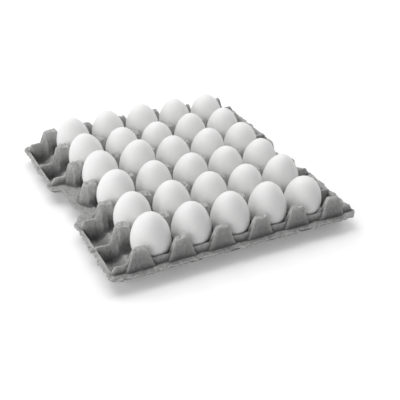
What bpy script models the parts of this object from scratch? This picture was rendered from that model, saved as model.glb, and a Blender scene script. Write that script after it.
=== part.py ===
"""Egg tray of moulded paper pulp filled with eggs.

The tray is one closed shell. Its upper face is a height function made of flat planes: the
posts, the ledges between them, the egg cells, the side pockets with their ribs, and the rim.
The lower face is the same function with every plane moved in by the wall thickness.
Lengths below are in millimetres and are turned into metres when a mesh is made.
"""
import math

import bmesh
import bpy
import numpy as np
from mathutils.bvhtree import BVHTree

MM = 0.001

# ---- driving dimensions, millimetres ----
PITCH = 46.0               # between neighbouring posts, and between neighbouring eggs
COLUMNS = 5                # eggs along X
ROWS = 6                   # eggs along Y
HEIGHT = 42.0              # top of the posts above the table
WALL = 2.0                 # pulp thickness
HALF_X = 148.0             # rim to centre
HALF_Y = 147.5
RIM_Z = 18.3               # upper face of the rim
LEDGE_Z = 17.0             # ledges between the cells
LOW_LEDGE_Z = 13.5         # ledges between a cell and a side pocket
SADDLE_Z = 26.5            # low walls between the front posts and between the back posts
END_INSET = 1.6            # end walls and end ribs stand this far inside the end posts' line
FLOOR_Z = 2.0              # upper face of a cell's flat bottom
POCKET_Z = 4.5             # upper face of a side pocket's bottom
CELL_SHIFT = -1.0          # the cells lie a little to one side of the posts' middle
CELL_SIDE = 18.6           # cell centre to its straight sides, at ledge height
CELL_DIAG = 18.7           # cell centre to its corner sides, at ledge height
CELL_SLOPE = 3.0
CELL_DIAG_SLOPE = 3.2
POCKET_EDGE = 143.2        # where the rim drops into a side pocket
POCKET_WALL_SLOPE = 3.4
POCKET_INNER = 4.2         # outer posts' line to the top of a pocket's inner slope
POCKET_INNER_SLOPE = 1.0
RIB_Z = 20.8               # crest of the ribs between two pockets
END_RIB_Z = 26.3           # crest of the ribs at the ends of a pair of pockets
RIB_HALF = 1.4
RIB_SLOPE = 3.4
RIB_SHIFT = 2.5            # the ribs beside the notch stand this far towards their pocket
CORNER = 7.0               # rounding of the rim's four corners
DROOP = 0.16               # fall of the rim for each millimetre outwards

# Finger notch: places along Y, and the rim's distance from the centre at each.
NOTCH_Y = [-38.0, -21.0, -8.0, 6.0, 18.0, 34.5, 38.5]
NOTCH_X = [HALF_X, 132.5, 136.0, 138.6, 135.6, 136.6, HALF_X]

# Post faces: rise over run, and distance from the post's middle at the top.
SIDE_FACE = (3.6, 6.4)     # looking along X
BACK_FACE = (4.6, 5.2)     # looking along Y
CORNER_FACE = (3.4, 10.7)  # looking into the cells, by |dx| + |dy|
END_FACE = (2.8, 7.2)      # looking along X, on the posts at the front and back
OUTER_FACE = (12.0, 1.4)   # looking out of the front or the back
POCKET_FRONT = (9.0, 5.3)  # on the outer posts, towards a side pocket
POCKET_LEFT = (11.0, 6.7)
POCKET_CREST = (3.3, 7.4)
NOTCH_FRONT = (3.2, 6.0)   # on the outer posts, towards the finger notch
NOTCH_LEFT = (3.9, 6.8)
NOTCH_RIGHT = (12.0, 8.3)
NOTCH_CREST = (3.7, 7.5)

EGG_WIDTH = 41.7
EGG_LENGTH = 56.0
EGG_SPREAD = 0.022         # size change either way
EGG_TAPER = 0.115          # how much narrower the upper half is
EGG_LEAN = 6.0             # degrees
EGG_GAP = 0.5              # straight down from an egg to the pulp
EGG_SIDES = 12
EGG_RINGS = 5
SEED = 30

POST_X = [(i - COLUMNS / 2) * PITCH for i in range(COLUMNS + 1)]
POST_Y = [(j - ROWS / 2) * PITCH for j in range(ROWS + 1)]
POST_EDGE_X = POST_X[-1]
POST_EDGE_Y = POST_Y[-1]


def plane(level, slope, distance, wall):
    """Height of a face falling from a level, moved in by the wall thickness."""
    return level - slope * distance - wall * np.sqrt(1.0 + slope * slope)


def face(kind, distance, wall):
    """Height of one of a post's faces."""
    slope, half = kind
    return plane(HEIGHT, slope, distance - half, wall)


def inner_posts(dx, dy, end, outside, wall):
    """Four faces, four corner faces and a flat top."""
    side = np.where(end, face(END_FACE, dx, wall), face(SIDE_FACE, dx, wall))
    back = np.where(outside, face(OUTER_FACE, dy, wall), face(BACK_FACE, dy, wall))
    slope, half = CORNER_FACE
    lean = wall * math.sqrt(1.0 + 2.0 * slope * slope)
    corner = np.where(outside, HEIGHT, HEIGHT - slope * (dx + dy - half) - lean)
    return np.minimum(np.minimum(side, back), np.minimum(corner, HEIGHT - wall))


def outer_posts(out, dy, notch, wall):
    """Faces of the posts beside the pockets and notches, outwards of their middle."""
    to_pocket = np.minimum(face(POCKET_FRONT, dy, wall),
                           face(POCKET_LEFT, 0.56 * out + 0.83 * dy, wall))
    to_notch = np.minimum(face(NOTCH_FRONT, dy, wall),
                          face(NOTCH_LEFT, 0.8 * out + 0.6 * dy, wall))
    to_notch = np.minimum(to_notch, face(NOTCH_RIGHT, 0.88 * dy - 0.48 * out, wall))
    crest = np.where(notch, face(NOTCH_CREST, out, wall), face(POCKET_CREST, out, wall))
    return np.minimum(np.where(notch, to_notch, to_pocket), np.minimum(crest, HEIGHT - wall))


def post_heights(x, y, wall):
    """Upper envelope of all the posts."""
    i = np.clip(np.round(x / PITCH + COLUMNS / 2), 0, COLUMNS)
    j = np.clip(np.round(y / PITCH + ROWS / 2), 0, ROWS)
    dx = np.abs(x - (i - COLUMNS / 2) * PITCH)
    dy = np.abs(y - (j - ROWS / 2) * PITCH)
    out = np.abs(x) - POST_EDGE_X
    end = (j == 0) | (j == ROWS)
    outside = end & (np.abs(y) > POST_EDGE_Y)
    inner = inner_posts(dx, dy, end, outside, wall)
    outer = outer_posts(out, dy, np.abs(y) < PITCH, wall)
    outer = np.where(out < 0.0, np.minimum(inner, outer), outer)
    beside = ((i == 0) | (i == COLUMNS)) & ~outside
    return np.where(beside, outer, inner)


def ledge_heights(x, y):
    """Height of the ledges: lower between the cells and the side pockets."""
    dip = np.clip((np.abs(x) - POST_EDGE_X + 12.0) / 8.0, 0.0, 1.0)
    away = np.clip((np.abs(y) - PITCH) / 2.0, 0.0, 1.0)
    return LEDGE_Z - (LEDGE_Z - LOW_LEDGE_Z) * dip * away


def cell_heights(x, y, wall):
    """Eight-sided cells with flat bottoms, level with the ledges between them."""
    column = np.clip(np.floor(x / PITCH + COLUMNS / 2), 0, COLUMNS - 1)
    row = np.clip(np.floor(y / PITCH + ROWS / 2), 0, ROWS - 1)
    cx = np.abs(x - (column - (COLUMNS - 1) / 2) * PITCH - CELL_SHIFT)
    cy = np.abs(y - (row - (ROWS - 1) / 2) * PITCH)
    straight = plane(LEDGE_Z, CELL_SLOPE, CELL_SIDE - np.maximum(cx, cy), wall)
    corner = plane(LEDGE_Z, CELL_DIAG_SLOPE, CELL_DIAG - (cx + cy) / math.sqrt(2.0), wall)
    walls = np.maximum(np.maximum(straight, corner), FLOOR_Z - wall)
    return np.minimum(walls, ledge_heights(x, y) - wall)


def pocket_heights(x, y, wall):
    """Side strips: half cells near the ends, and the plain rim beside the notch."""
    ax = np.abs(x)
    ledge = ledge_heights(x, y)
    outer = np.minimum(plane(RIM_Z, POCKET_WALL_SLOPE, POCKET_EDGE - ax, wall), RIM_Z - wall)
    inner = np.minimum(plane(ledge, POCKET_INNER_SLOPE, ax - POST_EDGE_X - POCKET_INNER, wall),
                       ledge - wall)
    pocket = np.maximum(np.maximum(outer, inner), POCKET_Z - wall)
    beside_notch = np.maximum(inner, RIM_Z - wall)
    return np.where(np.abs(y) < PITCH, beside_notch, pocket)


def rib_heights(x, y, wall):
    """Ribs running from the outer posts to the rim."""
    j = np.clip(np.round(y / PITCH + ROWS / 2), 0, ROWS)
    end = (j == 0) | (j == ROWS)
    by_notch = (j == 2) | (j == ROWS - 2)
    inset = np.where(end, END_INSET, 0.0) - np.where(by_notch, RIB_SHIFT, 0.0)
    across = np.abs(y) - np.abs((j - ROWS / 2) * PITCH) + inset
    out = np.abs(x) - POST_EDGE_X
    level = np.where((j == 1) | (j == ROWS - 1), RIB_Z, END_RIB_Z)
    crest = np.maximum(level - wall, face(POCKET_CREST, out, wall))
    crest = np.minimum(crest, HEIGHT - wall)
    crest = np.minimum(crest, plane(RIM_Z, 1.7, np.abs(x) - 145.3, wall))
    slope = np.where(end & (across > 0.0), OUTER_FACE[0], RIB_SLOPE)
    rib = np.minimum(crest, crest - slope * (np.abs(across) - RIB_HALF + 0.4 * wall))
    here = (out > 0.0) & (j != ROWS / 2)
    return np.where(here, rib, -99.0)


def saddle_heights(x, y, wall):
    """Low walls closing the front and back cells."""
    dy = np.abs(np.abs(y) - POST_EDGE_Y + END_INSET)
    wall_top = np.minimum(SADDLE_Z - wall, plane(SADDLE_Z, 7.0, dy - 1.5, wall))
    return np.where(np.abs(x) < POST_EDGE_X, wall_top, -99.0)


def tray_height(x, y, wall=0.0):
    """Height of the pulp's upper face, or of its lower face when a wall is given."""
    inside_x = np.abs(x) <= POST_EDGE_X
    inside_y = np.abs(y) <= POST_EDGE_Y
    base = np.where(inside_x, cell_heights(x, y, wall), pocket_heights(x, y, wall))
    base = np.where(inside_y, base, RIM_Z - wall)
    z = np.maximum(base, post_heights(x, y, wall))
    z = np.maximum(z, rib_heights(x, y, wall))
    z = np.maximum(z, saddle_heights(x, y, wall))
    outwards = np.maximum(np.abs(x) - 144.0, np.abs(y) - 142.5)
    return z - DROOP * np.clip(outwards, 0.0, None)


def side_edge(y):
    """Distance from the centre plane to the rim's outer edge along a row."""
    notch = np.interp(y, NOTCH_Y, NOTCH_X)
    corner = np.clip(np.abs(y) - (HALF_Y - CORNER), 0.0, CORNER)
    return notch - CORNER + np.sqrt(CORNER ** 2 - corner ** 2) * 0.7 + CORNER * 0.3


def row_lines():
    """Grid lines along Y, through the edges of the posts, ribs, end walls and rim."""
    lines = []
    for j, middle in enumerate(POST_Y):
        crest = {2: -RIB_SHIFT, ROWS - 2: RIB_SHIFT}.get(j, 0.0)
        lines += [middle + d for d in (-13.5, -9.0, -5.4, crest, 5.4, 9.0, 13.5)]
    lines = [v for v in lines if abs(v) < POST_EDGE_Y - 2.0]
    saddle = POST_EDGE_Y - END_INSET
    ends = [saddle, POST_EDGE_Y + 1.4, POST_EDGE_Y + 3.4, 144.5, HALF_Y]
    return np.array([-v for v in reversed(ends)] + lines + ends)


def tray_points():
    """Plan positions of the grid, its outer columns bent to follow the rim."""
    xs = [p + d for p in POST_X for d in (-14.0, -9.5, -5.0, 5.0, 9.5, 14.0)]
    xs = [v for v in xs if abs(v) < POST_EDGE_X + 10.0]
    ys = row_lines()
    start = xs[-1]
    edge = side_edge(ys)
    spread = [0.13, 0.27, 0.66, 0.82, 1.0]
    left = [-(start + (edge - start) * s) for s in reversed(spread)]
    right = [start + (edge - start) * s for s in spread]
    middle = [np.full_like(ys, v) for v in xs]
    x = np.stack(left + middle + right)
    y = np.broadcast_to(ys, x.shape).copy()
    return x, y


def grid_faces(top, columns, rows):
    """Triangles of the upper face, each square cut along its flatter diagonal."""
    faces = []
    for c in range(columns - 1):
        for r in range(rows - 1):
            a = c * rows + r
            b = a + rows
            d = a + 1
            e = b + 1
            if abs(top[a] - top[e]) <= abs(top[b] - top[d]):
                faces += [(a, b, e), (a, e, d)]
            else:
                faces += [(a, b, d), (b, e, d)]
    return faces


def rim_loop(columns, rows):
    """Grid numbers round the outline, counter-clockwise seen from above."""
    front = [c * rows for c in range(columns)]
    right = [(columns - 1) * rows + r for r in range(1, rows)]
    back = [c * rows + rows - 1 for c in range(columns - 2, -1, -1)]
    left = [r for r in range(rows - 2, 0, -1)]
    return front + right + back + left


def pulp_material():
    """Grey moulded paper pulp."""
    mat = bpy.data.materials.new("pulp")
    mat.use_nodes = True
    shader = mat.node_tree.nodes["Principled BSDF"]
    shader.inputs["Base Color"].default_value = (0.36, 0.36, 0.355, 1.0)
    shader.inputs["Roughness"].default_value = 0.95
    shader.inputs["Metallic"].default_value = 0.0
    return mat


def eggshell_material():
    """White eggshell."""
    mat = bpy.data.materials.new("eggshell")
    mat.use_nodes = True
    shader = mat.node_tree.nodes["Principled BSDF"]
    shader.inputs["Base Color"].default_value = (0.86, 0.86, 0.85, 1.0)
    shader.inputs["Roughness"].default_value = 0.5
    shader.inputs["Metallic"].default_value = 0.0
    return mat


def add_object(name, points, faces, material, collection):
    """One closed body from points in millimetres."""
    mesh = bpy.data.meshes.new(name)
    mesh.from_pydata([tuple(p) for p in np.asarray(points) * MM], [], faces)
    mesh.materials.append(material)
    bm = bmesh.new()
    bm.from_mesh(mesh)
    bmesh.ops.recalc_face_normals(bm, faces=bm.faces)
    bm.to_mesh(mesh)
    bm.free()
    mesh.update()
    obj = bpy.data.objects.new(name, mesh)
    collection.objects.link(obj)
    return obj


def build_tray(material, collection):
    """The pulp tray: upper face, lower face and the cut edge between them."""
    x, y = tray_points()
    columns, rows = x.shape
    top = tray_height(x, y).ravel()
    under = np.maximum(tray_height(x, y, WALL), 0.0).ravel()
    count = columns * rows
    points = np.zeros((2 * count, 3))
    points[:count] = np.stack([x.ravel(), y.ravel(), top], axis=1)
    points[count:] = np.stack([x.ravel(), y.ravel(), under], axis=1)
    upper = grid_faces(top, columns, rows)
    lower = [(a + count, c + count, b + count) for a, b, c in upper]
    loop = rim_loop(columns, rows)
    edge = []
    for k, a in enumerate(loop):
        b = loop[(k + 1) % len(loop)]
        edge += [(a, a + count, b + count), (a, b + count, b)]
    return add_object("tray", points, upper + lower + edge, material, collection)


def egg_settings():
    """Width, length, taper, lean and lean direction of every egg, front row first."""
    rng = np.random.RandomState(SEED)
    settings = {}
    for row in range(ROWS):
        for column in range(COLUMNS):
            size = 1.0 + EGG_SPREAD * rng.uniform(-1.0, 1.0)
            length = EGG_LENGTH * size * (1.0 + 0.025 * rng.uniform(-1.0, 1.0))
            taper = EGG_TAPER * (1.0 + 0.3 * rng.uniform(-1.0, 1.0))
            lean = EGG_LEAN * rng.uniform(0.1, 1.0)
            heading = rng.uniform(0.0, 360.0)
            settings[row, column] = (EGG_WIDTH * size, length, taper, lean, heading)
    settings[0, 0] = (41.7, 57.0, 0.10, 2.0, 180.0)
    settings[0, 1] = (41.7, 56.0, 0.11, 2.0, 90.0)
    settings[0, 2] = (42.2, 57.5, 0.15, 4.0, 200.0)
    settings[0, 3] = (42.0, 57.0, 0.14, 3.0, 150.0)
    settings[0, 4] = (41.8, 53.0, 0.04, 5.0, 20.0)
    return settings


def egg_points(width, length, taper, sides, rings):
    """Points of an upright egg round its own middle, and their triangles."""
    angles = np.linspace(0.0, math.pi, rings + 2)[1:-1]
    turns = np.arange(sides) * (2.0 * math.pi / sides)
    radius = 0.5 * width * np.sin(angles) * (1.0 - taper * np.cos(angles))
    ring_x = radius[:, None] * np.cos(turns)[None, :]
    ring_y = radius[:, None] * np.sin(turns)[None, :]
    ring_z = np.repeat(0.5 * length * np.cos(angles), sides).reshape(rings, sides)
    body = np.stack([ring_x, ring_y, ring_z], axis=2).reshape(-1, 3)
    points = np.vstack([body, [[0.0, 0.0, 0.5 * length], [0.0, 0.0, -0.5 * length]]])
    top = rings * sides
    faces = []
    for s in range(sides):
        n = (s + 1) % sides
        faces.append((top, s, n))
        faces.append((top + 1, (rings - 1) * sides + n, (rings - 1) * sides + s))
        for r in range(rings - 1):
            a = r * sides
            faces.append((a + s, a + sides + s, a + sides + n))
            faces.append((a + s, a + sides + n, a + n))
    return points, faces


def lean_points(points, lean, heading):
    """Tip points over towards a compass heading, both in degrees."""
    tip = math.radians(lean)
    turn = math.radians(heading)
    axis = np.array([-math.sin(turn), math.cos(turn), 0.0])
    cross = np.cross(np.broadcast_to(axis, points.shape), points)
    along = points @ axis
    return (points * math.cos(tip) + cross * math.sin(tip)
            + along[:, None] * axis[None, :] * (1.0 - math.cos(tip)))


def tray_tree(tray):
    """Search tree of the tray's triangles, in millimetres."""
    corners = [v.co / MM for v in tray.data.vertices]
    faces = [tuple(p.vertices) for p in tray.data.polygons]
    return BVHTree.FromPolygons(corners, faces)


def rest_height(egg, x, y, tree):
    """Height of an egg's middle when it just clears the pulp under it."""
    width, length, taper, lean, heading = egg
    points, _ = egg_points(width, length, taper, 36, 40)
    points = lean_points(points, lean, heading)
    highest = 0.0
    for point in points[points[:, 2] < 4.0]:
        start = (point[0] + x, point[1] + y, 2.0 * HEIGHT)
        hit = tree.ray_cast(start, (0.0, 0.0, -1.0))[0]
        if hit is not None:
            highest = max(highest, hit[2] - point[2])
    return highest + EGG_GAP


def build_eggs(tray, material, collection):
    """All the eggs, each in its own cell with its pointed end up."""
    tree = tray_tree(tray)
    for (row, column), egg in egg_settings().items():
        width, length, taper, lean, heading = egg
        x = (column - (COLUMNS - 1) / 2) * PITCH + CELL_SHIFT
        y = (row - (ROWS - 1) / 2) * PITCH
        z = rest_height(egg, x, y, tree)
        points, faces = egg_points(width, length, taper, EGG_SIDES, EGG_RINGS)
        points = lean_points(points, lean, heading) + np.array([x, y, z])
        name = "egg_r%d_c%d" % (row + 1, column + 1)
        obj = add_object(name, points, faces, material, collection)
        for face in obj.data.polygons:
            face.use_smooth = True


def clear_scene():
    """Remove whatever the start-up file holds."""
    for obj in list(bpy.data.objects):
        bpy.data.objects.remove(obj, do_unlink=True)


def main():
    clear_scene()
    collection = bpy.data.collections.new("egg_tray_with_eggs")
    bpy.context.scene.collection.children.link(collection)
    tray = build_tray(pulp_material(), collection)
    build_eggs(tray, eggshell_material(), collection)


main()
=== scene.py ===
"""Egg tray of moulded paper pulp with its eggs, on a pale studio floor.

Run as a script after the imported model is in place. The tray and the eggs are surfaces worked
out with numpy and put into meshes; the floor, the lights and the camera are the stage.
"""
import math

import bpy
import numpy as np
from bpy.props import (FloatProperty, FloatVectorProperty, IntProperty, PointerProperty)
from mathutils import Matrix, Vector


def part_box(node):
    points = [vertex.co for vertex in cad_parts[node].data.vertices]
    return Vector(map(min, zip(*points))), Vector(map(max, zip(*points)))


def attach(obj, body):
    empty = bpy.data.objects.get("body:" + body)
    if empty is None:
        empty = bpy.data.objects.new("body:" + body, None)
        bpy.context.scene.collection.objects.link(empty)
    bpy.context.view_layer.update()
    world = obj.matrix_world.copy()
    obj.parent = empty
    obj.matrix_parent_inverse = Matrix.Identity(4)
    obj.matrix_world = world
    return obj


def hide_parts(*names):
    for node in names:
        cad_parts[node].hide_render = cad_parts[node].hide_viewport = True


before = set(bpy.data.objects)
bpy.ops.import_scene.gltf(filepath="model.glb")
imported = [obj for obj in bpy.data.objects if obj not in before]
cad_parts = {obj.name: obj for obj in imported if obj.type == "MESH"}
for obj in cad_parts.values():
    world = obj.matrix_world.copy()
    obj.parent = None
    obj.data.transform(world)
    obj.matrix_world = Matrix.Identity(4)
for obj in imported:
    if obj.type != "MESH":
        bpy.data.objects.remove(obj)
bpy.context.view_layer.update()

bl_info = {
    "name": "Pulp egg tray",
    "version": (1, 0, 0),
    "blender": (4, 5, 0),
    "location": "3D View > Sidebar > Egg Tray",
    "description": "Builds a moulded pulp egg tray full of eggs and its studio",
    "category": "Add Mesh",
}

MM = 0.001
PITCH = 46.0
COLUMNS = 5
ROWS = 6
EDGE_X = COLUMNS * PITCH / 2
EDGE_Y = ROWS * PITCH / 2
CELL_SHIFT = -1.0
HALF_X = 148.0
HALF_Y = 147.5

# Faces of the posts in millimetres: how steeply each falls, and how far out its top edge is.
SIDE_FACE = (3.6, 6.4)
BACK_FACE = (4.6, 5.2)
END_FACE = (2.8, 7.2)
OUTER_FACE = (12.0, 1.4)
CORNER_SLOPE = 3.4
CORNER_REACH = 10.9
NOTCH_CREST = (3.7, 7.5)
NOTCH_FRONT = (3.2, 6.0)
NOTCH_LEFT = (3.9, 6.8)
NOTCH_RIGHT = (12.0, 8.3)
POCKET_CREST = (3.3, 7.4)
POCKET_FRONT = (7.0, 5.1)
POCKET_LEFT = (6.0, 6.3)
POST_UNEVEN = 0.6

# Levels above the floor and faces of the cells, pockets, ribs and end walls, in millimetres.
LEDGE_Z = 17.0
LEDGE_DIP = 3.5
CELL_FACE = (3.0, 18.6)
CELL_CORNER = (3.2, 18.7)
CELL_BOTTOM_Z = 2.0
POCKET_BOTTOM_Z = 4.0
POCKET_EDGE = 143.2
RIB_SLOPE = 3.4
RIB_Z = 26.3
LOW_RIB_Z = 20.8
END_WALL_Z = 26.2
END_WALL_INSET = 0.7
END_WALL_HALF = 1.2
END_WALL_SLOPE = 7.0
RIM_DROOP = 0.16
NOTCH_ALONG = (-38.0, -21.0, -8.0, 6.0, 18.0, 34.5, 38.5)
NOTCH_DEPTH = (HALF_X, 132.5, 136.0, 138.6, 135.6, 136.6, HALF_X)
CORNER_RADIUS = 8.0
WIDE_CORNER_RADIUS = 14.0
SHARP_ANGLE = math.radians(15.0)

# The usual egg in millimetres, and the seed of the differences between eggs.
EGG_WIDTH = 41.7
EGG_LENGTH = 56.0
EGG_TAPER = 0.115
EGG_SEED = 30

# Camera: heading, downward angle and roll in degrees, and where it stands in metres.
CAMERA_TURN = (28.74, 32.20, 2.59)
CAMERA_PLACE = (-0.3635, -0.7084, 0.49106)
FLOOR_HALF = 4000.0
FLOOR_GLOW = 0.18


# ---- sizes and colours a user may change ----

class TraySettings(bpy.types.PropertyGroup):
    """Sizes and colour of the pulp tray."""

    height: FloatProperty(
        name="Post height", description="Top of the posts above the floor",
        default=0.042, unit="LENGTH")
    wall: FloatProperty(
        name="Wall", description="Thickness of the pulp", default=0.002, unit="LENGTH")
    rim: FloatProperty(
        name="Rim height", description="Upper face of the rim", default=0.0183, unit="LENGTH")
    rough_edge: FloatProperty(
        name="Rough edge", description="How far the torn-looking rim wanders",
        default=0.0014, unit="LENGTH")
    rough_top: FloatProperty(
        name="Rough post tops", description="Unevenness of the tops of the posts",
        default=0.0020, unit="LENGTH")
    lumps: FloatProperty(
        name="Lumps", description="Slow unevenness of every pulp face",
        default=0.0004, unit="LENGTH")
    pulp_colour: FloatVectorProperty(
        name="Pulp colour", description="Mean colour of the dry pulp", subtype="COLOR",
        size=3, min=0.0, max=1.0, default=(0.295, 0.295, 0.292))
    half_pitch_lines: IntProperty(
        name="Grid lines", description="Grid lines in half a cell", default=15, min=6, max=20)


class EggSettings(bpy.types.PropertyGroup):
    """Shape and colour of the eggs."""

    sides: IntProperty(
        name="Sides", description="Points round an egg", default=72, min=12, max=160)
    rings: IntProperty(
        name="Rings", description="Points from an egg's top to its bottom", default=44,
        min=8, max=120)
    uneven: FloatProperty(
        name="Unevenness", description="How far a shell departs from a true egg curve",
        default=0.00022, unit="LENGTH")
    shell_colour: FloatVectorProperty(
        name="Shell colour", description="Mean colour of the shells", subtype="COLOR",
        size=3, min=0.0, max=1.0, default=(0.83, 0.83, 0.825))


class StageSettings(bpy.types.PropertyGroup):
    """Floor, lights and camera."""

    floor_colour: FloatVectorProperty(
        name="Floor colour", description="Colour of the pale floor", subtype="COLOR",
        size=3, min=0.0, max=1.0, default=(0.88, 0.88, 0.88))
    sky: FloatProperty(
        name="Sky", description="Strength of the even light from all round",
        default=0.24, min=0.0, max=10.0)
    key: FloatProperty(
        name="Key light", description="Power of the large soft light, in watts",
        default=35, min=0.0, max=1000.0)
    lens: FloatProperty(
        name="Lens", description="Focal length in millimetres", default=70.56,
        min=10.0, max=300.0)


# ---- numpy helpers ----

def smooth_noise(x, y, size, seed):
    """Noise from -1 to 1: random values at the corners of squares of the given size, joined by
    a smooth step across each square."""
    table = np.random.RandomState(seed).uniform(-1.0, 1.0, (128, 128))
    u = np.asarray(x, float) / size + 300.0
    v = np.asarray(y, float) / size + 300.0
    i = np.floor(u).astype(int)
    j = np.floor(v).astype(int)
    fu = u - i
    fv = v - j
    fu = fu * fu * (3.0 - 2.0 * fu)
    fv = fv * fv * (3.0 - 2.0 * fv)
    a = table[i % 128, j % 128]
    b = table[(i + 1) % 128, j % 128]
    c = table[i % 128, (j + 1) % 128]
    d = table[(i + 1) % 128, (j + 1) % 128]
    return (a * (1 - fu) + b * fu) * (1 - fv) + (c * (1 - fu) + d * fu) * fv


def soft_min(a, b, radius):
    """The lower of two heights, with the edge between them rounded over the given radius."""
    h = np.clip(radius - np.abs(a - b), 0.0, None) / radius
    return np.minimum(a, b) - h * h * radius * 0.25


def soft_max(a, b, radius):
    """The higher of two heights, with the corner between them filled over the given radius."""
    return -soft_min(-a, -b, radius)


def sloped(level, slope, distance, wall):
    """A face that falls from a level with distance, moved in square to itself by the wall."""
    return level - slope * distance - wall * math.sqrt(1.0 + slope * slope)


def face(level, shape, distance, wall):
    """A sloping face of the given steepness that starts to fall at the given reach."""
    return sloped(level, shape[0], distance - shape[1], wall)


# ---- the tray's surface, in millimetres ----

def post_surface(x, y, top, wall):
    """Each post is the least of a flat top, two pairs of faces square to the rows and four
    slanting corner faces. End posts have nearly upright outer faces with plain sides. The
    outermost posts have a curved outward crest, upright faces towards the side pockets and
    flared ones beside the finger notch."""
    i = np.clip(np.round(x / PITCH + COLUMNS / 2), 0, COLUMNS)
    j = np.clip(np.round(y / PITCH + ROWS / 2), 0, ROWS)
    dx = np.abs(x - (i - COLUMNS / 2) * PITCH)
    dy = np.abs(y - (j - ROWS / 2) * PITCH)
    end = (j == 0) | (j == ROWS)
    outside = end & (np.abs(y) > EDGE_Y)
    level = top + POST_UNEVEN * smooth_noise(i * 7.3 + 0.5, j * 5.1 + 0.5, 1.0, 11)
    side = np.where(end, face(level, END_FACE, dx, wall), face(level, SIDE_FACE, dx, wall))
    back = np.where(outside, face(level, OUTER_FACE, dy, wall),
                    face(level, BACK_FACE, dy, wall))
    hollow = 0.6 * np.exp(-((dx - dy) / 4.0) ** 2)
    plain = sloped(level, CORNER_SLOPE * math.sqrt(2.0),
                   (dx + dy + hollow - CORNER_REACH) / math.sqrt(2.0), wall)
    z = np.where(outside, side, soft_min(side, plain, 1.0))
    z = soft_min(soft_min(z, back, 0.9), level - wall, 1.4)
    out = np.abs(x) - EDGE_X
    notch = np.abs(y) < PITCH
    crest = np.where(notch, face(level, NOTCH_CREST, out, wall),
                     face(level, POCKET_CREST, out, wall))
    front = np.where(notch, face(level, NOTCH_FRONT, dy, wall),
                     face(level, POCKET_FRONT, dy, wall))
    left = np.where(notch, face(level, NOTCH_LEFT, 0.8 * out + 0.6 * dy, wall),
                    face(level, POCKET_LEFT, 0.72 * out + 0.69 * dy, wall))
    right = face(level, NOTCH_RIGHT, 0.88 * dy - 0.48 * out, wall)
    faces = np.minimum(np.minimum(front, left), np.where(notch, right, 99.0))
    flared = soft_min(soft_min(crest, faces, 0.9), level - wall, 1.4)
    flared = np.where(out < 0.0, soft_min(flared, side, 1.0), flared)
    flared = np.where(out < 0.0, soft_min(flared, plain, 1.0), flared)
    return np.where((np.abs(i - COLUMNS / 2) == COLUMNS / 2) & ~outside & (out > -PITCH / 2),
                    flared, z)


def cell_surface(x, y, ledge, wall):
    """Cells with eight sloping sides and flat bottoms, never higher than the ledges."""
    column = np.clip(np.floor(x / PITCH + COLUMNS / 2), 0, COLUMNS - 1)
    row = np.clip(np.floor(y / PITCH + ROWS / 2), 0, ROWS - 1)
    cx = np.abs(x - (column - (COLUMNS - 1) / 2) * PITCH - CELL_SHIFT)
    cy = np.abs(y - (row - (ROWS - 1) / 2) * PITCH)
    straight = sloped(LEDGE_Z, CELL_FACE[0], CELL_FACE[1] - np.maximum(cx, cy), wall)
    corner = sloped(LEDGE_Z, CELL_CORNER[0], CELL_CORNER[1] - (cx + cy) / math.sqrt(2.0), wall)
    walls = soft_max(soft_max(straight, corner, 2.0), CELL_BOTTOM_Z - wall, 3.0)
    return soft_min(walls, ledge - wall, 1.0)


def ledge_level(x, y):
    """Height of the low ridges between cells: lower beside the side pockets."""
    dip = np.clip((np.abs(x) - EDGE_X + 12.0) / 8.0, 0.0, 1.0)
    away = np.clip((np.abs(y) - PITCH) / 2.0, 0.0, 1.0)
    return LEDGE_Z - LEDGE_DIP * dip * away


def pocket_surface(x, y, rim, ledge, wall):
    """Half cells beside the outer posts, with a steep outer wall, a bottom and a slope that
    rises to the ledge; beside the finger notch the rim runs straight up to the ledge."""
    ax = np.abs(x)
    outer = soft_min(sloped(rim, RIB_SLOPE, POCKET_EDGE - ax, wall), rim - wall, 0.8)
    inner = soft_min(sloped(ledge, 1.0, ax - EDGE_X - 4.2, wall), ledge - wall, 1.5)
    pocket = soft_max(soft_max(outer, inner, 1.5), POCKET_BOTTOM_Z - wall, 4.0)
    beside = soft_max(inner, rim - wall, 1.0)
    return np.where(np.abs(y) < PITCH, beside, pocket)


def rib_surface(x, y, top, rim, wall):
    """Ribs from the outer posts to the rim: a crest that falls in a curve, with steep sides.
    The ribs at the two ends stand a little inside the line of posts."""
    j = np.clip(np.round(y / PITCH + ROWS / 2), 0, ROWS)
    end = (j == 0) | (j == ROWS)
    inset = np.where(end, 1.6, 0.0) + np.where((j == 2) | (j == ROWS - 2), -2.5, 0.0)
    middle = np.sign(y) * (np.abs((j - ROWS / 2) * PITCH) - inset)
    across = np.abs(y) - np.abs(middle)
    dx = np.abs(x) - EDGE_X
    level = np.where((j == 1) | (j == ROWS - 1), LOW_RIB_Z, RIB_Z)
    crest = soft_max(level - wall, face(top, POCKET_CREST, dx, wall), 6.0)
    crest = soft_min(crest, top - wall, 1.5)
    crest = soft_min(crest, sloped(rim, 1.7, np.abs(x) - 145.3, wall), 1.5)
    reach = 1.4 - 0.4 * wall
    steep = np.where(end & (across > 0.0), OUTER_FACE[0], RIB_SLOPE)
    rib = soft_min(crest, crest - steep * (np.abs(across) - reach), 0.8)
    here = (dx > 0.0) & (j != ROWS / 2)
    return np.where(here, rib, -99.0)


def saddle_surface(x, y, wall):
    """Low walls along the front and back, between the end posts."""
    dy = np.abs(np.abs(y) - (EDGE_Y - END_WALL_INSET))
    ridge = soft_min(sloped(END_WALL_Z, END_WALL_SLOPE, dy - END_WALL_HALF, wall),
                     END_WALL_Z - wall, 0.6)
    return np.where(np.abs(x) < EDGE_X, ridge, -99.0)


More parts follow.
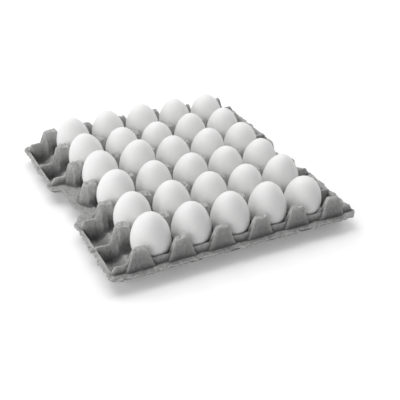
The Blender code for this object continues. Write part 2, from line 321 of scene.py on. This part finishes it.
def pulp_height(x, y, top, rim, wall):
    """Height of the pulp: the highest of cells or pockets, posts, ribs and end walls, with the
    rim falling a little outwards."""
    ledge = ledge_level(x, y)
    inside_x = np.abs(x) <= EDGE_X
    inside_y = np.abs(y) <= EDGE_Y
    base = np.where(inside_x, cell_surface(x, y, ledge, wall),
                    pocket_surface(x, y, rim, ledge, wall))
    base = np.where(inside_y, base, rim - wall)
    z = soft_max(base, post_surface(x, y, top, wall), 1.0)
    z = soft_max(z, rib_surface(x, y, top, rim, wall), 1.0)
    z = soft_max(z, saddle_surface(x, y, wall), 0.8)
    outwards = np.maximum(np.abs(x) - 144.0, np.abs(y) - 142.5)
    return z - RIM_DROOP * np.clip(outwards, 0.0, None)


def side_edge(y, side):
    """Rim's distance from the middle along a row: a wavy finger notch halfway and round
    corners, the widest of them at the front right."""
    notch = sum(np.interp(y + shift, NOTCH_ALONG, NOTCH_DEPTH) for shift in (0.0, -1.5, 1.5)) / 3.0
    radius = np.where((side > 0.0) & (y < 0.0), WIDE_CORNER_RADIUS, CORNER_RADIUS)
    corner = np.clip(np.abs(y) - (HALF_Y - radius), 0.0, radius)
    return notch - radius + np.sqrt(np.clip(radius ** 2 - corner * corner, 0.0, None))


def ridges(x, y, z):
    """Painted light and shade from the shape: how far each grid point stands out of the mean of
    its neighbourhood, square to the surface, from -1 in crevices (painted shade) to 1 on sharp
    edges (painted highlight); level faces, which face the light from above, get a little painted
    light."""
    mean = z
    for _ in range(4):
        p = np.pad(mean, 1, mode="edge")
        # painted highlight: outside the grid the heights are taken lower, so the outer edge of the
        # rim is painted lighter
        p[[0, -1], :] -= 2.5
        p[:, [0, -1]] -= 2.5
        mean = 0.25 * (p[:-2, 1:-1] + p[2:, 1:-1] + p[1:-1, :-2] + p[1:-1, 2:])
    along = np.gradient(z, axis=0) / np.maximum(np.gradient(x, axis=0), 0.2)
    across = np.gradient(z, axis=1) / np.maximum(np.gradient(y, axis=1), 0.2)
    level = 1.0 / np.sqrt(1.0 + along ** 2 + across ** 2)
    # crevices get painted shade; sharp edges and level faces get painted highlight
    return np.clip((z - mean) * level / 0.8 + 0.45 * (level - 0.35), -1.0, 1.0)


def half_cell_lines(count):
    """Grid distances from a post to the middle of a cell, closer together near its edges."""
    t = np.linspace(0.0, 1.0, count + 1)
    return PITCH / 2 * (t - 0.055 * np.sin(2.0 * math.pi * t))


def row_lines(posts, count):
    """Grid lines through a row of posts, the half cells on both sides mirrored."""
    half = half_cell_lines(count)
    around = np.concatenate([-half[:0:-1], half[:-1]])
    lines = np.concatenate([p + around for p in posts])
    return lines[(lines > posts[0] - 6.0) & (lines < posts[-1] + 6.0)]


def tray_plan(count):
    """Plan positions of the tray's grid; the outer columns bend to follow the rim."""
    posts_x = (np.arange(COLUMNS + 1) - COLUMNS / 2) * PITCH
    posts_y = (np.arange(ROWS + 1) - ROWS / 2) * PITCH
    xs = row_lines(posts_x, count)
    xs = xs[np.abs(xs) < EDGE_X + 5.0]
    ys = row_lines(posts_y, count)
    ys = ys[np.abs(ys) < EDGE_Y + 0.9]
    beyond = np.array([139.2, 139.7, 140.3, 140.9, 141.5, 142.1, 143.0, 144.2, 145.4, 146.4,
                       147.1, HALF_Y])
    ys = np.concatenate([-beyond[::-1], ys, beyond])
    start = xs[-1]
    steps = np.array([0.04, 0.08, 0.12, 0.16, 0.20, 0.24, 0.28, 0.32, 0.36, 0.40, 0.44, 0.48,
                      0.52, 0.56, 0.60, 0.64, 0.68, 0.72, 0.75, 0.78, 0.82, 0.86, 0.90, 0.94,
                      0.97, 0.99, 1.0])
    left = start + (side_edge(ys, -1.0)[None, :] - start) * steps[:, None]
    right = start + (side_edge(ys, 1.0)[None, :] - start) * steps[:, None]
    middle = np.repeat(xs[:, None], len(ys), axis=1)
    x = np.concatenate([-left[::-1], middle, right])
    y = np.repeat(ys[None, :], x.shape[0], axis=0)
    return x, y


def grid_squares(columns, rows):
    """Corner numbers of every square of a grid, as four whole arrays."""
    c, r = np.meshgrid(np.arange(columns - 1), np.arange(rows - 1), indexing="ij")
    a = (c * rows + r).ravel()
    return a, a + rows, a + rows + 1, a + 1


def outline(columns, rows):
    """Grid numbers round the edge, counter-clockwise from above."""
    front = np.arange(columns) * rows
    right = (columns - 1) * rows + np.arange(1, rows)
    back = np.arange(columns - 2, -1, -1) * rows + rows - 1
    left = np.arange(rows - 2, 0, -1)
    return np.concatenate([front, right, back, left])


def put_mesh(name, points, faces):
    """A mesh object in metres from points in millimetres and whole arrays of faces."""
    mesh = bpy.data.meshes.new(name)
    sizes = np.repeat([f.shape[1] for f in faces], [len(f) for f in faces])
    flat = np.concatenate([f.ravel() for f in faces])
    starts = np.concatenate([[0], np.cumsum(sizes)[:-1]])
    mesh.vertices.add(len(points))
    mesh.vertices.foreach_set("co", (np.asarray(points) * MM).astype(np.float32).ravel())
    mesh.loops.add(len(flat))
    mesh.loops.foreach_set("vertex_index", flat.astype(np.int32))
    mesh.polygons.add(len(sizes))
    mesh.polygons.foreach_set("loop_start", starts.astype(np.int32))
    mesh.polygons.foreach_set("loop_total", sizes.astype(np.int32))
    mesh.polygons.foreach_set("use_smooth", np.ones(len(sizes), bool))
    mesh.update(calc_edges=True)
    mesh.validate()
    mesh.set_sharp_from_angle(angle=SHARP_ANGLE)
    obj = bpy.data.objects.new(name, mesh)
    bpy.context.scene.collection.objects.link(obj)
    return obj


# ---- materials ----

def node(tree, kind, **inputs):
    """One shader node with its plain input values set."""
    made = tree.nodes.new(kind)
    for key, value in inputs.items():
        made.inputs[key.replace("_", " ")].default_value = value
    return made


def span(tree, value, low, high, to_low, to_high):
    """A value stretched from one range to another."""
    made = tree.nodes.new("ShaderNodeMapRange")
    for key, number in (("From Min", low), ("From Max", high), ("To Min", to_low),
                        ("To Max", to_high)):
        made.inputs[key].default_value = number
    tree.links.new(value, made.inputs["Value"])
    return made.outputs["Result"]


def times(tree, one, two):
    """Two values multiplied."""
    made = tree.nodes.new("ShaderNodeMath")
    made.operation = "MULTIPLY"
    tree.links.new(one, made.inputs[0])
    tree.links.new(two, made.inputs[1])
    return made.outputs["Value"]


def pulp_material(colour):
    """Dry grey paper pulp: blotches, short fibres and pits, with a coarse matt surface, plus
    painted shade in crevices and painted highlight on edges and level faces, read from the 'ridge'
    attribute.
    """
    mat = bpy.data.materials.new("moulded_pulp")
    mat.use_nodes = True
    tree = mat.node_tree
    link = tree.links.new
    shader = tree.nodes["Principled BSDF"]
    place = tree.nodes.new("ShaderNodeTexCoord")
    blotch = node(tree, "ShaderNodeTexNoise", Scale=70.0, Detail=3.0, Roughness=0.6)
    speck = node(tree, "ShaderNodeTexNoise", Scale=430.0, Detail=5.0, Roughness=0.75)
    stretch = node(tree, "ShaderNodeMapping", Scale=(1.0, 1.0, 0.16))
    streak = node(tree, "ShaderNodeTexNoise", Scale=430.0, Detail=3.0, Roughness=0.6)
    pits = node(tree, "ShaderNodeTexVoronoi", Scale=380.0, Randomness=1.0)
    for tex in (blotch, speck, pits):
        link(place.outputs["Object"], tex.inputs["Vector"])
    link(place.outputs["Object"], stretch.inputs["Vector"])
    link(stretch.outputs["Vector"], streak.inputs["Vector"])
    # painted light: the 'ridge' attribute lightens edges and level faces (painted highlight) and
    # darkens crevices (painted shade)
    ridge = tree.nodes.new("ShaderNodeAttribute")
    ridge.attribute_name = "ridge"
    # speck, blotch and streak are the pulp's own tone; the last factor is painted shade and
    # painted highlight from the 'ridge' attribute
    grain_tones_and_painted_light = [span(tree, speck.outputs["Fac"], 0.3, 0.7, 0.84, 1.16),
             span(tree, blotch.outputs["Fac"], 0.3, 0.7, 0.90, 1.10),
             span(tree, streak.outputs["Fac"], 0.3, 0.7, 0.90, 1.10),
             span(tree, ridge.outputs["Fac"], -0.7, 0.7, 0.60, 1.62)]
    both = times(tree, times(tree, grain_tones_and_painted_light[0], grain_tones_and_painted_light[1]), times(tree, grain_tones_and_painted_light[2], grain_tones_and_painted_light[3]))
    tint = tree.nodes.new("ShaderNodeVectorMath")
    tint.operation = "SCALE"
    tint.inputs[0].default_value = colour
    link(both, tint.inputs["Scale"])
    link(tint.outputs["Vector"], shader.inputs["Base Color"])
    deep = span(tree, pits.outputs["Distance"], 0.0, 0.35, 0.0, 1.0)
    grain = tree.nodes.new("ShaderNodeMath")
    grain.operation = "MULTIPLY_ADD"
    grain.inputs[1].default_value = 0.7
    link(streak.outputs["Fac"], grain.inputs[0])
    link(speck.outputs["Fac"], grain.inputs[2])
    total = tree.nodes.new("ShaderNodeMath")
    total.operation = "MULTIPLY_ADD"
    total.inputs[1].default_value = 0.35
    link(deep, total.inputs[0])
    link(grain.outputs["Value"], total.inputs[2])
    bump = node(tree, "ShaderNodeBump", Strength=1.0, Distance=0.0016)
    link(total.outputs["Value"], bump.inputs["Height"])
    link(bump.outputs["Normal"], shader.inputs["Normal"])
    shader.inputs["Roughness"].default_value = 0.96
    shader.inputs["Specular IOR Level"].default_value = 0.15
    return mat


def shell_material(colour):
    """White eggshell: a soft sheen, faint chalky clouds and very fine pores."""
    mat = bpy.data.materials.new("eggshell_white")
    mat.use_nodes = True
    tree = mat.node_tree
    link = tree.links.new
    shader = tree.nodes["Principled BSDF"]
    place = tree.nodes.new("ShaderNodeTexCoord")
    cloud = node(tree, "ShaderNodeTexNoise", Scale=45.0, Detail=3.0, Roughness=0.55)
    pores = node(tree, "ShaderNodeTexNoise", Scale=1500.0, Detail=3.0, Roughness=0.6)
    link(place.outputs["Object"], cloud.inputs["Vector"])
    link(place.outputs["Object"], pores.inputs["Vector"])
    tone = span(tree, cloud.outputs["Fac"], 0.3, 0.7, 0.975, 1.02)
    tint = tree.nodes.new("ShaderNodeVectorMath")
    tint.operation = "SCALE"
    tint.inputs[0].default_value = colour
    link(tone, tint.inputs["Scale"])
    link(tint.outputs["Vector"], shader.inputs["Base Color"])
    bump = node(tree, "ShaderNodeBump", Strength=0.10, Distance=0.0003)
    link(pores.outputs["Fac"], bump.inputs["Height"])
    link(bump.outputs["Normal"], shader.inputs["Normal"])
    shader.inputs["Roughness"].default_value = 0.58
    shader.inputs["Specular IOR Level"].default_value = 0.25
    return mat


def floor_material(colour):
    """Plain matt white paper sweep."""
    mat = bpy.data.materials.new("pale_floor")
    mat.use_nodes = True
    shader = mat.node_tree.nodes["Principled BSDF"]
    shader.inputs["Base Color"].default_value = (*colour, 1.0)
    shader.inputs["Roughness"].default_value = 0.9
    shader.inputs["Specular IOR Level"].default_value = 0.1
    shader.inputs["Emission Color"].default_value = (1.0, 1.0, 1.0, 1.0)
    shader.inputs["Emission Strength"].default_value = FLOOR_GLOW
    return mat


# ---- the eggs, in millimetres ----

def egg_settings():
    """Width, length, taper, lean and heading of every egg, front row first."""
    rng = np.random.RandomState(EGG_SEED)
    settings = {}
    for row in range(ROWS):
        for column in range(COLUMNS):
            size = 1.0 + 0.022 * rng.uniform(-1.0, 1.0)
            length = EGG_LENGTH * size * (1.0 + 0.025 * rng.uniform(-1.0, 1.0))
            taper = EGG_TAPER * (1.0 + 0.3 * rng.uniform(-1.0, 1.0))
            lean = 6.0 * rng.uniform(0.1, 1.0)
            heading = rng.uniform(0.0, 360.0)
            if row == ROWS - 1:
                lean = 3.5
                heading = 180.0
            settings[row, column] = (EGG_WIDTH * size, length, taper, lean, heading)
    settings[0, 0] = (41.7, 57.0, 0.10, 2.0, 180.0)
    settings[0, 1] = (41.7, 56.0, 0.11, 2.0, 90.0)
    settings[0, 2] = (42.2, 57.5, 0.15, 4.0, 200.0)
    settings[0, 3] = (42.0, 57.0, 0.14, 3.0, 150.0)
    settings[0, 4] = (41.8, 53.0, 0.04, 5.0, 20.0)
    return settings


def egg_surface(width, length, taper, sides, rings, uneven, seed):
    """An egg about its own middle: going down by angle, the radius is half the width times the
    sine, times one less the taper times the cosine; the height is half the length times the
    cosine. Slow noise moves the shell in and out a little."""
    angles = np.linspace(0.0, math.pi, rings + 2)
    turns = np.arange(sides) * (2.0 * math.pi / sides)
    radius = 0.5 * width * np.sin(angles) * (1.0 - taper * np.cos(angles))
    height = 0.5 * length * np.cos(angles)
    a, t = np.meshgrid(angles, turns, indexing="ij")
    wave = smooth_noise(3.0 * np.sin(a) * np.cos(t), 3.0 * np.sin(a) * np.sin(t) + 5.0 * a,
                        1.6, seed) * uneven * np.sin(a)
    x = (radius[:, None] + wave) * np.cos(t)
    y = (radius[:, None] + wave) * np.sin(t)
    z = np.repeat(height[:, None], sides, axis=1)
    body = np.stack([x, y, z], axis=2)[1:-1].reshape(-1, 3)
    return np.vstack([body, [[0.0, 0.0, 0.5 * length], [0.0, 0.0, -0.5 * length]]])


def egg_faces(sides, rings):
    """Squares between neighbouring rings and triangles at both poles."""
    s = np.arange(sides)
    n = (s + 1) % sides
    top = rings * sides
    last = (rings - 1) * sides
    r = np.arange(rings - 1)[:, None] * sides
    squares = np.stack([r + s, r + sides + s, r + sides + n, r + n], axis=2).reshape(-1, 4)
    upper = np.stack([np.full(sides, top), s, n], axis=1)
    lower = np.stack([np.full(sides, top + 1), last + n, last + s], axis=1)
    return [squares, np.vstack([upper, lower])]


def lean_over(points, lean, heading):
    """Turn points by the lean angle about the level axis square to the heading."""
    tip = math.radians(lean)
    turn = math.radians(heading)
    axis = np.array([-math.sin(turn), math.cos(turn), 0.0])
    cross = np.cross(np.broadcast_to(axis, points.shape), points)
    along = points @ axis
    return (points * math.cos(tip) + cross * math.sin(tip)
            + along[:, None] * axis[None, :] * (1.0 - math.cos(tip)))


# ---- operators ----

class EGGTRAY_OT_tray(bpy.types.Operator):
    """Build the moulded pulp tray"""

    bl_idname = "eggtray.tray"
    bl_label = "Build Tray"

    def execute(self, context):
        s = context.scene.egg_tray
        top = s.height / MM
        rim = s.rim / MM
        wall = s.wall / MM
        x, y = tray_plan(s.half_pitch_lines)
        columns, rows = x.shape
        upper = pulp_height(x, y, top, rim, 0.0)
        lower = pulp_height(x, y, top, rim, wall)
        lumps = s.lumps / MM * (smooth_noise(x, y, 9.0, 3) + 0.6 * smooth_noise(x, y, 4.0, 4)
                                + 0.5 * smooth_noise(x, y, 1.9, 14))
        high = np.clip((upper - top + 3.0) / 2.5, 0.0, 1.0)
        tops = s.rough_top / MM * high * (0.6 * smooth_noise(x, y, 5.0, 5)
                                          + 0.4 * smooth_noise(x, y, 2.2, 6) - 0.25)
        upper = upper + lumps + tops
        lower = np.clip(lower + lumps + tops, 0.0, None)
        lower = np.where(lower < 0.6, 0.0, lower)
        near_edge_x = np.clip((np.abs(x) - side_edge(y, x) + 6.0) / 6.0, 0.0, 1.0) ** 2
        near_edge_y = np.clip((np.abs(y) - HALF_Y + 6.0) / 6.0, 0.0, 1.0) ** 2
        amount = s.rough_edge / MM
        ragged_x = smooth_noise(y, x * 0.1, 7.0, 7) + 0.8 * smooth_noise(y, x * 0.1, 2.4, 8)
        ragged_y = smooth_noise(x, y * 0.1, 7.0, 9) + 0.8 * smooth_noise(x, y * 0.1, 2.4, 10)
        px = x + np.sign(x) * amount * near_edge_x * ragged_x
        py = y + np.sign(y) * amount * near_edge_y * ragged_y
        fray = np.maximum(near_edge_x, near_edge_y)
        upper = upper + 0.9 * fray * smooth_noise(x, y, 3.0, 12)
        lower = lower + 0.9 * fray * smooth_noise(x, y, 3.0, 13)
        lower = np.minimum(lower, upper - 0.8)
        a, b, c, d = grid_squares(columns, rows)
        z = upper.ravel()
        flatter = np.abs(z[a] - z[c]) <= np.abs(z[b] - z[d])
        first = np.where(flatter[:, None], np.stack([a, b, c], 1), np.stack([a, b, d], 1))
        second = np.where(flatter[:, None], np.stack([a, c, d], 1), np.stack([b, c, d], 1))
        count = columns * rows
        above = np.vstack([first, second])
        below = above[:, ::-1] + count
        loop = outline(columns, rows)
        nxt = np.roll(loop, -1)
        cut = np.stack([loop, loop + count, nxt + count, nxt], axis=1)
        points = np.vstack([np.stack([px.ravel(), py.ravel(), upper.ravel()], 1),
                            np.stack([px.ravel(), py.ravel(), lower.ravel()], 1)])
        tray = put_mesh("pulp_tray", points, [above, below, cut])
        # painted light and shade on the pulp from its shape, kept in the 'ridge' attribute: shade
        # in crevices, highlight on edges and level faces; the underside gets it reversed and
        # weaker
        painted_light = ridges(x, y, upper).ravel()
        painted_light_layer = tray.data.attributes.new("ridge", "FLOAT", "POINT")
        painted_light_layer.data.foreach_set("value", np.concatenate([painted_light, -0.3 * painted_light]).astype(np.float32))
        tray.data.materials.append(pulp_material(tuple(s.pulp_colour)))
        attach(tray, "root")
        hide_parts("tray")
        return {"FINISHED"}


class EGGTRAY_OT_eggs(bpy.types.Operator):
    """Build the eggs, each in its own cell"""

    bl_idname = "eggtray.eggs"
    bl_label = "Build Eggs"

    def execute(self, context):
        s = context.scene.egg_tray_eggs
        shell = shell_material(tuple(s.shell_colour))
        faces = egg_faces(s.sides, s.rings)
        for (row, column), egg in egg_settings().items():
            width, length, taper, lean, heading = egg
            name = "egg_r%d_c%d" % (row + 1, column + 1)
            low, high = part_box(name)
            poles = lean_over(np.array([[0.0, 0.0, 0.5 * length]]), lean, heading)
            x = (column - (COLUMNS - 1) / 2) * PITCH + CELL_SHIFT
            y = (row - (ROWS - 1) / 2) * PITCH
            z = high[2] / MM - poles[0, 2]
            points = egg_surface(width, length, taper, s.sides, s.rings, s.uneven / MM,
                                 100 + 10 * row + column)
            points = lean_over(points, lean, heading) + np.array([x, y, z])
            obj = put_mesh("shell_r%d_c%d" % (row + 1, column + 1), points, faces)
            obj.data.materials.append(shell)
            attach(obj, "root")
            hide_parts(name)
        return {"FINISHED"}


class EGGTRAY_OT_stage(bpy.types.Operator):
    """Build the floor, the soft lights and the camera"""

    bl_idname = "eggtray.stage"
    bl_label = "Build Stage"

    def execute(self, context):
        s = context.scene.egg_tray_stage
        corners = FLOOR_HALF * np.array([[-1.0, -1.0, 0.0], [1.0, -1.0, 0.0],
                                         [1.0, 1.0, 0.0], [-1.0, 1.0, 0.0]])
        floor = put_mesh("pale_floor", corners, [np.array([[0, 1, 2, 3]])])
        floor.data.materials.append(floor_material(tuple(s.floor_colour)))
        world = bpy.data.worlds.new("studio_white")
        world.use_nodes = True
        back = world.node_tree.nodes["Background"]
        back.inputs["Color"].default_value = (1.0, 1.0, 1.0, 1.0)
        back.inputs["Strength"].default_value = s.sky
        context.scene.world = world
        context.scene.view_settings.view_transform = "Standard"
        self.area("top_light", (-0.20, 0.80, 1.6), (0.0, 0.0, 0.0), 1.8, 0.75 * s.key)
        self.area("left_light", (-1.7, -0.4, 0.6), (0.0, 0.0, 0.0), 1.3, 0.44 * s.key)
        self.area("right_light", (1.3, 0.2, 1.1), (0.0, 0.0, 0.0), 1.3, 0.24 * s.key)
        self.camera(s.lens)
        return {"FINISHED"}

    def area(self, name, spot, target, size, power):
        """A square soft light at a spot, turned to a target."""
        lamp = bpy.data.lights.new(name, "AREA")
        lamp.shape = "SQUARE"
        lamp.size = size
        lamp.energy = power
        obj = bpy.data.objects.new(name, lamp)
        obj.location = spot
        away = np.array(target) - np.array(spot)
        obj.rotation_mode = "QUATERNION"
        obj.rotation_quaternion = Vector(away).to_track_quat("-Z", "Y")
        bpy.context.scene.collection.objects.link(obj)

    def camera(self, lens):
        """A long lens from the front left, looking down, with a slight roll."""
        az, el, roll = (math.radians(v) for v in CAMERA_TURN)
        ahead = np.array([math.sin(az) * math.cos(el), math.cos(az) * math.cos(el),
                          -math.sin(el)])
        right = np.array([math.cos(az), -math.sin(az), 0.0])
        up = np.cross(right, ahead)
        turned_right = math.cos(roll) * right + math.sin(roll) * up
        turned_up = -math.sin(roll) * right + math.cos(roll) * up
        data = bpy.data.cameras.new("studio_camera")
        data.lens = lens
        data.sensor_width = 36.0
        data.clip_end = 50.0
        obj = bpy.data.objects.new("studio_camera", data)
        turn = np.stack([turned_right, turned_up, -ahead], axis=1)
        place = Matrix([list(row) + [0.0] for row in turn] + [[0.0, 0.0, 0.0, 1.0]])
        place.translation = CAMERA_PLACE
        obj.matrix_world = place
        bpy.context.scene.collection.objects.link(obj)
        bpy.context.scene.camera = obj


class EGGTRAY_PT_panel(bpy.types.Panel):
    """Sizes, colours and build buttons of the egg tray"""

    bl_idname = "EGGTRAY_PT_panel"
    bl_label = "Egg Tray"
    bl_space_type = "VIEW_3D"
    bl_region_type = "UI"
    bl_category = "Egg Tray"

    def draw(self, context):
        layout = self.layout
        scene = context.scene
        for settings, operator in ((scene.egg_tray, EGGTRAY_OT_tray),
                                   (scene.egg_tray_eggs, EGGTRAY_OT_eggs),
                                   (scene.egg_tray_stage, EGGTRAY_OT_stage)):
            box = layout.box()
            for key in settings.__annotations__:
                box.prop(settings, key)
            box.operator(operator.bl_idname)


CLASSES = (TraySettings, EggSettings, StageSettings, EGGTRAY_OT_tray, EGGTRAY_OT_eggs,
           EGGTRAY_OT_stage, EGGTRAY_PT_panel)


def register():
    """Add the classes and their settings to Blender."""
    for cls in CLASSES:
        bpy.utils.register_class(cls)
    bpy.types.Scene.egg_tray = PointerProperty(type=TraySettings)
    bpy.types.Scene.egg_tray_eggs = PointerProperty(type=EggSettings)
    bpy.types.Scene.egg_tray_stage = PointerProperty(type=StageSettings)


def unregister():
    """Take the classes and their settings out of Blender."""
    del bpy.types.Scene.egg_tray
    del bpy.types.Scene.egg_tray_eggs
    del bpy.types.Scene.egg_tray_stage
    for cls in reversed(CLASSES):
        bpy.utils.unregister_class(cls)


def main():
    """Build every piece in order."""
    register()
    bpy.ops.eggtray.tray()
    bpy.ops.eggtray.eggs()
    bpy.ops.eggtray.stage()


if __name__ == "__main__":
    main()
